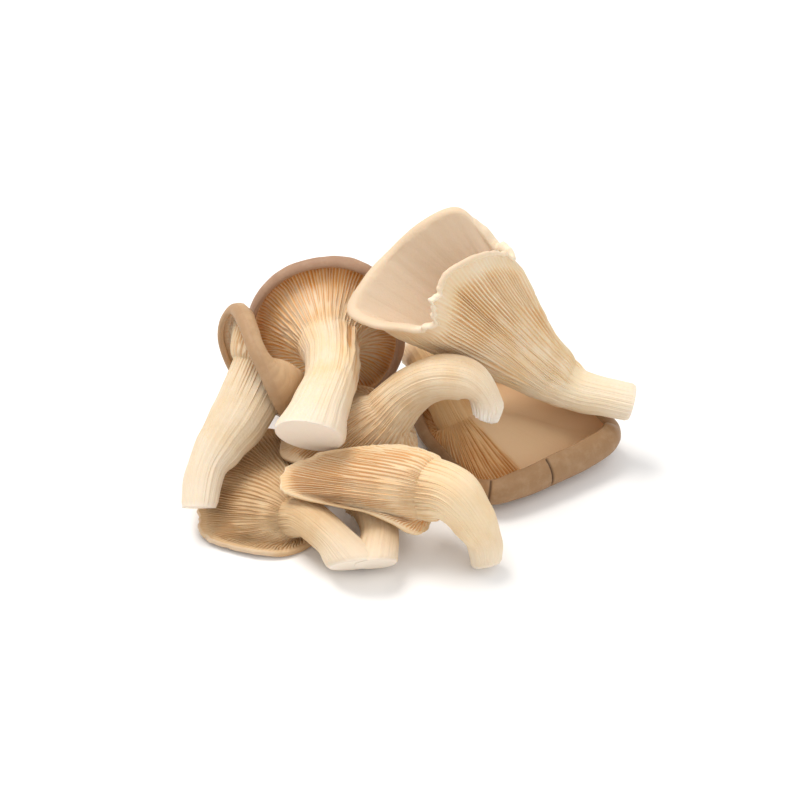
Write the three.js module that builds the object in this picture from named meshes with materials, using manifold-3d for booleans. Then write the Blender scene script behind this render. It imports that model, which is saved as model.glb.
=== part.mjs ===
// A heap of freshly cut oyster mushrooms, lying as they were tipped out: one standing cap with its
// gills to the front, a small hooded one leaning on it, a big torn funnel on top, and the rest lying
// with their gills up. Every mushroom grew as one piece and is one closed body. Units are millimetres,
// +Z is up, +X runs along the heap and the surface it rests on is Z = 0.

import * as THREE from 'three';
import Module from 'manifold-3d';

const wasm = await Module();
wasm.setup();

// Driving dimensions of every mushroom
const RIM = 2.6;                 // flesh thickness at the margin
const HEART = 6.5;               // flesh thickness over the stem
const HEART_SHARE = 0.4;         // and at most this share of the way from the stem to the margin
const BED = 1.2;                 // least flesh under the gills where the cap lies on the surface
const GILL = 1.5;                // how far a gill stands out of the flesh
const GILL_PITCH = 1.2;          // and at most this many times its share of the way round
const GILL_FADE = [0.72, 0.92];  // share of the way to the margin over which the gills die out
const BARE_EDGE = 0.03;          // share of the way round over which a stripped patch begins
const SKIN_START = 0.2;          // share of the way out where the upper skin closes over the stem
const CUT_BEVEL = 0.6;           // rounding of the knife cut at the foot
const CUT_REACH = 0.4;           // share of the stem over which a slanting cut is evened out
const HEAP_CENTRE = [4.55, 54.68]; // middle of the heap, in the frame the mushrooms are laid out in

// Each mushroom: its stem from the cut foot to the gills as [x, y, z, radius], the way its knife cut
// faces, and its margin as a closed loop of [x, y, z, roll, tear] that starts at the far end of the
// cap. Roll is the radius that the margin curls in with, and tear the share of the span that is
// ragged. `flare` says how the flesh leaves the stem (along it, outward) and how it reaches the
// margin (outward, curled towards the gills), and `turn` how far round the margin is rolled. `bare`
// is the stretch of the way round where the gills have been rubbed off, and `crowd` how strongly the
// gills gather towards the far end.
const MUSHROOMS = {
  mushroom_left: {
    colour: 0xc4a27f,
    gills: 30,
    stem: [
      [-79.5, 27, 13, 7.2], [-77.5, 40, 20, 8], [-72, 50, 25, 10], [-65, 60, 30.5, 12],
      [-59.5, 69, 37, 12.5], [-55.5, 77, 43.5, 12],
    ],
    cut: [0, -0.7, -0.7],
    margin: [
      [-66, 92, 62, 1.5], [-61, 79, 64, 2], [-57, 68, 60.5, 2], [-53, 62, 55, 2], [-49.5, 58, 48, 2],
      [-46.5, 59.5, 38, 2], [-46, 66, 30, 1.5], [-51.5, 76, 25, 1], [-60, 84, 26, 1], [-67, 89, 34, 1],
      [-71, 93, 46, 1], [-70, 94, 55, 1],
    ],
    flare: [0.5, 0.8, 0.3, 1.3],
    turn: 1.4,
    decurrent: 0.45,
  },
  mushroom_back: {
    colour: 0xcfa987,
    gills: 38,
    stem: [
      [-35.5, 35, 43.5, 14], [-31.5, 50, 45, 11.5], [-28, 66, 45, 10.5], [-27.5, 81, 44.5, 11],
      [-29, 93, 43.5, 12.5],
    ],
    cut: [-0.15, -0.9, -0.45],
    margin: [
      [-34, 112, 70, 0.9], [-23, 111, 71, 0.9], [-13, 109, 68, 0.9], [-5, 106, 60, 0.9], [-1, 103, 48, 0.9],
      [-1, 100, 34, 0.9], [-8, 99, 18, 0.9], [-20, 100, 7, 0.9], [-35, 102, 2.4, 0.9], [-48, 105, 6.5, 0.9],
      [-57, 107, 20, 0.9], [-61, 108, 36, 0.9], [-59, 109, 50, 0.9], [-53, 110, 60, 0.9],
      [-44, 111, 67, 0.9],
    ],
    flare: [0.9, 0.5, 0.4, 1.0],
    turn: 1.6,
    decurrent: 0.35,
  },
  mushroom_top: {
    colour: 0xe2c9a4,
    gills: 38,
    stem: [
      [94, 72, 29.5, 7.8], [84, 75.5, 29.5, 7.9], [74, 79, 29.5, 8.6], [67, 82, 31.5, 10],
      [60.5, 84, 36, 12],
    ],
    cut: [0.95, -0.1, -0.2],
    margin: [
      [-2, 106, 79.5, 0.5], [-12, 97, 71.5, 1], [-17, 87, 64.5, 2], [-8, 77, 65, 2], [2, 71.5, 67.5, 2],
      [10, 67, 71, 1, 0.05], [13.5, 66, 83, 0.5, 0.1], [17.5, 71, 92, 0.5, 0.04], [28, 78, 95.5, 0.5, 0.04],
      [37, 86, 93, 0.5, 0.04], [44, 94, 88.5, 0.5, 0.1], [38, 103, 90.5, 0.5, 0.15],
      [30, 109, 94.5, 0.5, 0.05], [22, 110, 96.5, 0.5], [10, 109, 90.5, 0.5],
    ],
    flare: [0.6, 0.1, 0.7, 0],
    turn: 1.2,
    decurrent: 0.6,
  },
  mushroom_middle: {
    colour: 0xdfc39b,
    gills: 32,
    stem: [
      [34, 53, 37.5, 5], [34, 55.5, 45, 7], [28, 58.5, 51.5, 8.5], [19, 60.3, 52.8, 9], [10, 63, 47.5, 9],
      [2, 64, 39.5, 9.5], [-5, 62, 31.5, 10.5],
    ],
    cut: [-0.3, -0.3, -0.9],
    margin: [
      [-47, 61, 20], [-47, 53, 18.5], [-36, 47, 18.5], [-22, 44, 19.5], [-10, 45, 20.5],
      [3, 50, 19], [7, 59, 18], [3, 72, 23, 0, 0.1], [-7, 80, 28, 0, 0.1], [-18, 84, 28.5],
      [-32, 81, 25.5], [-43, 72, 21.5],
    ],
    flare: [0.4, 0.4, 0.6, 0.2],
    crowd: 0.3,
    turn: 0,
    decurrent: 0.45,
  },
  mushroom_right: {
    colour: 0xb99776,
    gills: 38,
    stem: [
      [7, 114, 22, 7.5], [9, 106, 26.5, 7.5], [13, 96, 27, 8.5], [19.5, 88, 20.5, 9.5], [25, 83, 12, 10.5],
    ],
    cut: [-0.3, 0.9, 0],
    margin: [
      [75, 62, 6, 5.5], [85, 70, 8, 5], [86.5, 77, 9, 3.5], [81, 84, 13, 2.5], [70, 92, 18, 2],
      [52, 102, 20, 1], [34, 106, 15, 1], [19, 103, 8, 1], [8, 94, 7, 1], [10, 80, 7, 1],
      [18, 64, 7, 1], [26, 48, 7, 2], [35, 40, 6.5, 4], [48, 45, 5.5, 5], [61, 53, 5.5, 5.5],
    ],
    flare: [0.4, 0.6, 0.5, 0.4],
    bare: [0.93, 1.2],
    turn: 2.4,
    decurrent: 0.3,
  },
  mushroom_front: {
    colour: 0xe0c294,
    gills: 36,
    stem: [[34, 5, 3, 6], [33, 7, 13, 7], [28, 10, 23, 9], [20, 15, 31, 11], [11.5, 20, 29.5, 12]],
    cut: [0.2, -0.5, -0.8],
    margin: [
      [-47, 29, 28, 0, 0.03], [-45, 23, 26, 0, 0.05], [-36, 18, 26], [-24, 14, 26], [-12, 11, 25.5],
      [-2, 8, 23], [5, 7, 19], [9, 12, 14], [10, 22, 12.5], [9, 31, 19], [6, 35, 29, 0, 0.08],
      [-1, 35.5, 38, 0, 0.08], [-12, 35, 38.5], [-22, 35, 37], [-36, 36, 32.5, 0, 0.05],
    ],
    flare: [0.5, 0.4, 0.6, 0],
    gillFade: [0.85, 0.99],
    turn: 0,
    decurrent: 0.5,
  },
  mushroom_pair: {
    colour: 0xd8b88d,
    gills: 38,
    stem: [[-17, -2, 9.5, 9], [-27, 9, 14, 7.5], [-37, 20, 14, 7.5], [-42, 25, 10, 8]],
    cut: [0.1, -0.8, -0.55],
    margin: [
      [-80, 31, 4, 0, 0.04], [-79, 44, 7], [-72, 58, 11], [-63, 69, 14.5], [-52, 73, 14],
      [-41, 66, 10], [-34, 51, 6], [-31, 37, 4], [-32, 26, 2.5], [-37, 18, 2.5], [-45, 13, 3],
      [-54, 12, 4, 0, 0.05], [-66, 15, 4, 0, 0.05], [-77, 21, 4, 0, 0.04],
    ],
    flare: [0.4, 0.6, 0.6, 0.2],
    crowd: 0.3,
    turn: 0,
    decurrent: 0.5,
    twin: {
      gills: 16,
      stem: [[-9.5, -1.5, 9.5, 8.5], [-8, 13, 12, 7.5], [-11, 27, 14, 7.5]],
      cut: [0.1, -0.8, -0.55],
      margin: [
        [-12, 44, 18], [-21, 41, 16], [-23, 35, 10], [-19, 31.5, 5], [-10, 31, 3.5],
        [-1, 32, 6], [2, 38, 12], [-3, 43, 17],
      ],
      flare: [0.4, 0.4, 0.4, 0.4],
      turn: 0,
      decurrent: 0.4,
    },
  },
};

const TURN = 2 * Math.PI;
const vector = (p) => new THREE.Vector3(p[0], p[1], p[2]);
const mix = (a, b, t) => a + (b - a) * t;
const smooth = (t) => {
  const s = Math.min(1, Math.max(0, t));
  return s * s * (3 - 2 * s);
};

// Ragged outline of a torn margin, from 0 to 1, the same on every run.
const fray = (u) => 0.5 + 0.28 * Math.sin(TURN * 11 * u + 1.3) + 0.22 * Math.sin(TURN * 17 * u + 0.4);

// The stem as rings round its centreline, each ring's directions carried over from the one above it.
function makeStem(spec) {
  const line = new THREE.CatmullRomCurve3(spec.stem.map(vector), false, 'centripetal');
  const stations = 40;
  const across = [];
  across[stations] = vector(spec.margin[0]).sub(vector(spec.stem.at(-1)));
  for (let i = stations; i >= 0; i -= 1) {
    const along = line.getTangent(i / stations);
    const carried = (across[i] ?? across[i + 1]).clone();
    across[i] = carried.addScaledVector(along, -carried.dot(along)).normalize();
  }
  const radiusAt = (v) => {
    const place = v * (spec.stem.length - 1);
    const i = Math.min(spec.stem.length - 2, Math.floor(place));
    return mix(spec.stem[i][3], spec.stem[i + 1][3], smooth(place - i));
  };
  const frameAt = (v) => {
    const along = line.getTangent(v);
    const first = across[Math.round(v * stations)].clone();
    first.addScaledVector(along, -first.dot(along)).normalize();
    return { centre: line.getPoint(v), along, first, second: along.clone().cross(first) };
  };
  const outwardAt = (v, angle) => {
    const { first, second } = frameAt(v);
    return first.multiplyScalar(Math.cos(angle)).addScaledVector(second, Math.sin(angle));
  };
  const cut = vector(spec.cut);
  const slideAt = (v, outward) => {
    const { along } = frameAt(0);
    const slant = -outward.dot(cut) / along.dot(cut);
    return along.multiplyScalar(slant * (1 - smooth(v / CUT_REACH)));
  };
  const at = (v, angle, reach) => {
    const outward = outwardAt(v, angle).multiplyScalar(reach);
    return frameAt(v).centre.add(outward).add(slideAt(v, outward));
  };
  return { frameAt, radiusAt, outwardAt, at };
}

// The margin as a closed curve that turns the same way round as the stem's rings.
function makeMargin(spec, upward) {
  const loop = [...spec.margin];
  const normal = new THREE.Vector3();
  loop.forEach((p, i) => normal.add(vector(p).cross(vector(loop[(i + 1) % loop.length]))));
  normal.normalize();
  if (normal.dot(upward) < 0) {
    loop.reverse();
    loop.unshift(loop.pop());
    normal.negate();
  }
  const curve = new THREE.CatmullRomCurve3(loop.map(vector), true, 'centripetal');
  const crowd = spec.crowd ?? 0;
  const at = (u) => {
    const share = u - crowd * Math.sin(TURN * u) / TURN;
    const place = curve.getUtoTmapping(share - Math.floor(share));
    const i = Math.floor(place * loop.length) % loop.length;
    const [here, next] = [loop[i], loop[(i + 1) % loop.length]];
    const along = smooth(place * loop.length - Math.floor(place * loop.length));
    const value = (k) => mix(here[k] ?? 0, next[k] ?? 0, along);
    return { point: curve.getPoint(place), edge: curve.getTangent(place), roll: value(3), tear: value(4) };
  };
  return { at, normal };
}

// The turn of the stem's ring from which each share of the margin grows, so that the gills fan out
// without swirling: the way that the margin lies round the stem, smoothed to its first two waves.
function makeFan(stem, margin) {
  const { centre, first, second } = stem.frameAt(1);
  const samples = 72;
  const waves = [[0, 0], [0, 0], [0, 0]];
  let previous = 0;
  for (let i = 0; i < samples; i += 1) {
    const u = i / samples;
    const way = margin.at(u).point.sub(centre);
    const angle = Math.atan2(way.dot(second), way.dot(first)) - TURN * u;
    const lag = angle - TURN * Math.round((angle - previous) / TURN);
    previous = lag;
    waves.forEach((wave, k) => {
      wave[0] += (lag * Math.cos(TURN * k * u) * (k ? 2 : 1)) / samples;
      wave[1] += (lag * Math.sin(TURN * k * u) * 2) / samples;
    });
  }
  const room = waves.reduce((sum, [c, s], k) => sum + k * Math.hypot(c, s), 0);
  const share = Math.min(1, 0.7 / Math.max(room, 0.01));
  return (u) => waves.reduce((sum, [c, s], k) => {
    const wave = c * Math.cos(TURN * k * u) + s * Math.sin(TURN * k * u);
    return sum + (k ? share * wave : wave);
  }, TURN * u);
}

// The gilled side of the cap without its gills: from the stem's last ring out to the margin at 1,
// and from there round the roll of the margin up to 2.
function makeUnderside(spec, stem, margin, fan) {
  const { along } = stem.frameAt(1);
  const [rise, spread, reach, curl] = spec.flare;
  const flat = (u, t) => {
    const outward = stem.outwardAt(1, fan(u));
    const start = stem.at(1, fan(u), stem.radiusAt(1));
    const { point, edge, tear } = margin.at(u);
    const span = point.clone().sub(start);
    const length = span.length();
    const leave = along.clone().multiplyScalar(rise).addScaledVector(outward, spread);
    const arrive = span.clone().addScaledVector(edge, -0.5 * span.dot(edge)).normalize()
      .multiplyScalar(reach).addScaledVector(margin.normal, -curl);
    const s = t * (1 - tear * fray(u));
    const [s2, s3] = [s * s, s * s * s];
    return start.multiplyScalar(2 * s3 - 3 * s2 + 1)
      .addScaledVector(leave, (s3 - 2 * s2 + s) * length)
      .addScaledVector(point, 3 * s2 - 2 * s3)
      .addScaledVector(arrive, (s3 - s2) * length);
  };
  const step = 0.012;
  const facing = (u, t) => {
    const round = flat(u + step, t).sub(flat(u - step, t));
    const out = flat(u, Math.min(1, t + step)).sub(flat(u, Math.max(0, t - step))).normalize();
    return { out, inward: out.clone().cross(round).normalize() };
  };
  const inward = (u, t) => {
    const face = facing(u, Math.min(1, t));
    if (t <= 1) return face.inward;
    const bend = (t - 1) * spec.turn;
    return face.inward.multiplyScalar(Math.cos(bend)).addScaledVector(face.out, Math.sin(bend));
  };
  const at = (u, t) => {
    if (t <= 1) return flat(u, t);
    const face = facing(u, 1);
    const bend = (t - 1) * spec.turn;
    const { roll } = margin.at(u);
    return flat(u, 1).addScaledVector(face.out, roll * Math.sin(bend))
      .addScaledVector(face.inward, roll * (Math.cos(bend) - 1));
  };
  const spanAt = (u) => flat(u, 0).distanceTo(flat(u, 1));
  return { at, inward, spanAt };
}

// One ring of points, `count` of them, each from its share of the way round.
const ring = (count, place) => Array.from({ length: count }, (_, i) => place(i / count, i));

// Triangles between one ring and the next, which has as many points, or half or twice as many.
function stitch(triangles, first, second) {
  const [a, b] = [first.length, second.length];
  if (a === b) {
    for (let i = 0; i < a; i += 1) {
      const j = (i + 1) % a;
      triangles.push([first[i], first[j], second[j]], [first[i], second[j], second[i]]);
    }
  } else if (b > a) {
    for (let i = 0; i < a; i += 1) {
      const [j, k] = [(i + 1) % a, 2 * i];
      triangles.push([first[i], second[k + 1], second[k]]);
      triangles.push([first[i], first[j], second[k + 1]]);
      triangles.push([first[j], second[(k + 2) % b], second[k + 1]]);
    }
  } else {
    for (let i = 0; i < b; i += 1) {
      const [j, k] = [(i + 1) % b, 2 * i];
      triangles.push([first[k], first[k + 1], second[i]]);
      triangles.push([first[k + 1], second[j], second[i]]);
      triangles.push([first[k + 1], first[(k + 2) % a], second[j]]);
    }
  }
}

// A whole mushroom: cut foot, stem, gills, rolled margin and upper skin, closed over the stem.
function growMushroom(spec) {
  const stem = makeStem(spec);
  const margin = makeMargin(spec, stem.frameAt(1).along);
  const fan = makeFan(stem, margin);
  const underside = makeUnderside(spec, stem, margin, fan);
  const fine = 2 * spec.gills;
  const coarse = spec.gills;
  const [fadeFrom, fadeTo] = spec.gillFade ?? GILL_FADE;
  const [bareFrom, bareTo] = spec.bare ?? [0, 0];
  const clad = (u) => {
    const past = u < bareTo - 1 ? u + 1 : u;
    return 1 - smooth((past - bareFrom) / BARE_EDGE) * smooth((bareTo - past) / BARE_EDGE);
  };
  const gill = (i) => (i % 2 ? GILL : 0) * clad(i / fine);

  const bedded = (p) => p.setZ(Math.max(BED, p.z));
  const stemRing = (count, v, shrink = 0, gilled = 0) => ring(count, (u, i) => (
    stem.at(v, fan(u), stem.radiusAt(v) - shrink + gilled * gill(i))
  ));
  const gillRing = (t) => ring(fine, (u, i) => {
    const pitch = underside.at(u, t).distanceTo(underside.at(u + 1 / fine, t));
    const fade = 1 - smooth((t - fadeFrom) / (fadeTo - fadeFrom));
    const lift = Math.min(gill(i), GILL_PITCH * pitch) * fade;
    return bedded(underside.at(u, t).addScaledVector(underside.inward(u, t), -lift));
  });
  const bareRing = (t) => ring(coarse, (u) => bedded(underside.at(u, t)));
  const skinRing = (t) => ring(coarse, (u) => {
    const heart = Math.max(RIM, Math.min(HEART, HEART_SHARE * underside.spanAt(u)));
    const depth = t > 1 ? RIM : mix(RIM, heart, (1 - t) ** 2);
    return underside.at(u, t).addScaledVector(underside.inward(u, t), depth);
  });
  const lipRing = (t) => ring(coarse, (u) => {
    const inward = underside.inward(u, t);
    const out = underside.at(u, t).sub(underside.at(u, t - 0.05)).normalize();
    return underside.at(u, t).addScaledVector(inward, RIM / 2).addScaledVector(out, RIM * 0.45);
  });

  const gillStart = 1 - spec.decurrent;
  const bends = spec.stem.length - 1;
  const rolled = spec.turn > 0;
  const lip = rolled ? 2 : 1;
  const rings = [
    stemRing(coarse, 0, CUT_BEVEL),
    stemRing(coarse, 0.03),
    ...Array.from({ length: bends }, (_, i) => stemRing(coarse, (gillStart * (i + 1)) / bends)),
    stemRing(fine, mix(gillStart, 1, 0.4), 0, 0.5),
    stemRing(fine, mix(gillStart, 1, 0.75), 0, 0.8),
    ...[0, 0.15, 0.3, 0.45, 0.6, 0.75, 0.92].map(gillRing),
    ...(rolled ? [1, 1.5, 2] : [1]).map(bareRing),
    lipRing(lip),
    ...(rolled ? [2, 1.5, 1] : [1]).map(skinRing),
    ...[0.85, 0.65, 0.42, SKIN_START].map(skinRing),
  ];
  const sum = rings.at(-1).reduce((total, p) => total.add(p), new THREE.Vector3());
  const heart = sum.divideScalar(coarse);

  const points = [stem.frameAt(0).centre];
  const numbered = rings.map((places) => places.map((p) => points.push(p) - 1));
  const last = points.push(heart) - 1;
  const triangles = [];
  numbered[0].forEach((p, i) => triangles.push([0, numbered[0][(i + 1) % coarse], p]));
  for (let i = 1; i < numbered.length; i += 1) stitch(triangles, numbered[i - 1], numbered[i]);
  const end = numbered.at(-1);
  end.forEach((p, i) => triangles.push([last, p, end[(i + 1) % coarse]]));
  return { points, triangles };
}

// What would reach below the surface the heap lies on is pressed flat against it.
function rest({ points, triangles }) {
  points.forEach((p) => p.setZ(Math.max(0, p.z)));
  return { points, triangles };
}

function solid({ points, triangles }) {
  const vertProperties = new Float32Array(points.flatMap((p) => p.toArray()));
  const triVerts = new Uint32Array(triangles.flat());
  return new wasm.Manifold(new wasm.Mesh({ numProp: 3, vertProperties, triVerts }));
}

function geometry(body) {
  const { vertProperties, triVerts } = body.getMesh();
  const shape = new THREE.BufferGeometry();
  shape.setAttribute('position', new THREE.BufferAttribute(vertProperties, 3));
  shape.setIndex(new THREE.BufferAttribute(triVerts, 1));
  shape.computeVertexNormals();
  return shape;
}

const heap = new THREE.Group();
heap.position.set(-HEAP_CENTRE[0], -HEAP_CENTRE[1], 0);
for (const [name, spec] of Object.entries(MUSHROOMS)) {
  let body = solid(rest(growMushroom(spec)));
  if (spec.twin) body = body.add(solid(rest(growMushroom(spec.twin))));
  const flesh = new THREE.MeshStandardMaterial({ color: spec.colour, roughness: 0.7, metalness: 0 });
  const mushroom = new THREE.Mesh(geometry(body), flesh);
  mushroom.name = name;
  heap.add(mushroom);
}

export default heap;
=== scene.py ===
import math

import bpy
import numpy as np
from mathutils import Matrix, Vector


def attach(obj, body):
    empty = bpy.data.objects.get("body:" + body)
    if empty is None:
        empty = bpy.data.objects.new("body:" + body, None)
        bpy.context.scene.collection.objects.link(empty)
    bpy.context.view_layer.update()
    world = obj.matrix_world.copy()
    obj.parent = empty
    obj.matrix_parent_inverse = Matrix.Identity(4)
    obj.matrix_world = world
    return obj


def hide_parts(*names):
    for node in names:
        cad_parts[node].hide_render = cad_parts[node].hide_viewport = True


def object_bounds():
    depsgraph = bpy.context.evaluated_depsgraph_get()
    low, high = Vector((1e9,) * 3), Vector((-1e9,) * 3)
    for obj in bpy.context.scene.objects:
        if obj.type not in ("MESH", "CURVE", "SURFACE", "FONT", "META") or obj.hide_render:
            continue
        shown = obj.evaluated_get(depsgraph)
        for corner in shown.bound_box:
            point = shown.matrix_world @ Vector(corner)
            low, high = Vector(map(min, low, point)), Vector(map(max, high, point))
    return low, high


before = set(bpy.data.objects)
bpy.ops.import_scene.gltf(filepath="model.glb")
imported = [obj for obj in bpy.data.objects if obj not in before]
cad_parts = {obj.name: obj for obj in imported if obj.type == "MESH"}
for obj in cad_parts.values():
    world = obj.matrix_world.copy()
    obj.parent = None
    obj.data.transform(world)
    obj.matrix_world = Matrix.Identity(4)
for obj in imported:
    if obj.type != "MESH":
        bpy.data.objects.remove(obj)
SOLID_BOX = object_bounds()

bl_info = {
    "name": "Heap of oyster mushrooms",
    "version": (1, 0, 0),
    "blender": (4, 5, 0),
    "location": "View3D > Sidebar > Mushrooms",
    "description": "Freshly cut oyster mushrooms with fanned gills, lying in a loose heap",
    "category": "Object",
}

TURN = 2 * math.pi
SEED = 7
SCATTER = (12.9898, 78.233, 37.719, 7.13, 43758.5453)    # what scatters the noise's lattice
NOISE_CENTRE = (31, 17)      # middle of the ring that noise is read from
MM = 0.001                   # metres
HEAP_CENTRE = (4.55, 54.68)  # middle of the heap, in the millimetres that it is laid out in

# The flesh, in millimetres and shares, as in the solids
RIM = 2.6                    # flesh thickness at the margin
HEART = 6.5                  # flesh thickness over the stem
HEART_SHARE = 0.4            # and at most this share of the way from the stem to the margin
BED = 1.2                    # least flesh under the gills where a cap lies on the surface
CUT_BEVEL = 0.6              # rounding of the knife cut
CUT_REACH = 0.4              # share of the stem over which a slanting cut is evened out
SKIN_START = 0.2             # share of the way out where the upper skin closes over the stem
BARE_EDGE = 0.03             # share of the way round over which a stripped patch begins
TEAR_START = 0.8             # share of the way out where tears reach in to

# The gills
RIDGE_SHARPNESS = 1.3        # how narrow a gill's crest is
LONG_GILL = 0.12             # a gill that starts nearer to the stem than this runs on down it
STEM_GILL = 0.8              # height of the gills on the stem, as a share of those on the cap
GILL_CROWDING = 1.25         # a gill stands out at most this many times the gap beside it

# Where the rows of faces lie, from the middle of the knife cut round to the middle of the cap:
# over the cut, up the stem, out over the gills, round the rolled margin, round its lip and back
# over the skin
CUT_SHARES = (0.0, 0.25, 0.5, 0.72, 0.88, 0.96)
STEM_SHARES = np.concatenate([[0.0, 0.008, 0.03], np.linspace(0.03, 1, 32)[1:-1]])
GILL_SHARES = np.concatenate([np.linspace(0, 0.9, 38), [0.93, 0.96, 0.985, 1.0]])
ROLL_SHARES = np.linspace(1, 2, 9)[1:]
LIP_ANGLES = np.linspace(0, math.pi, 9)[1:-1]
SKIN_SHARES = np.concatenate([[1.0, 0.985, 0.96, 0.93], np.linspace(0.9, SKIN_START, 11)])
MIDDLE_SHARES = (0.15, 0.35, 0.55, 0.78, 1.0)

# Unevenness as layers of noise, each with its height, its cells in a turn, its cells along the
# growth and its seed. Heights are in millimetres where nothing else is said.
CUT_RIPPLE = ((0.05, 20, 3, 11),)                             # of the radius
CUT_SWELL = ((0.25, 5, 2, 3),)
CUT_SHREDS = ((5.0, 14, 6, 4),)                               # times how ragged the foot is
STEM_FIBRES = ((0.16, 60, 5, 21), (0.3, 9, 3, 22), (0.09, 150, 8, 23))
STEM_SHREDS = ((3.5, 40, 60, 24), (3.5, 110, 90, 25))         # times how ragged the foot is
GILL_SWAY = ((0.32, 22, 5, 31), (0.18, 60, 11, 32))           # of the way to the next gill
GILL_CHIPS = ((0.25, 40, 9, 33),)                             # of a gill's height
LIP_TATTERS = ((0.35, 170, 2, 41), (0.8, 45, 1, 42))
TORN_PATCHES = ((0.45, 30, 0.7, 43),)                         # of the tear
SKIN_RELIEF = ((0.25, 14, 4, 51), (0.12, 60, 10, 52))
PLATE_GAPS = ((2.2, 26, 9, 26), (0.5, 60, 22, 27))            # of a loose plate's height
TEAR_BITES = ((0.6, 26, 0.3, 61), (0.4, 70, 0.3, 62), (0.18, 150, 0.3, 63))     # of the tear

# What each point of a mushroom carries for its colours: how far it stands out of the painted shade
# between the gills, whether it is skin, how far out it lies, and whether it is cut, torn, stripped
# of its gills, near the foot or in a crack, where shade is painted dark
MARKS = ("gill", "skin", "reach", "cut", "torn", "bareness", "foot", "crack")

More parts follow.
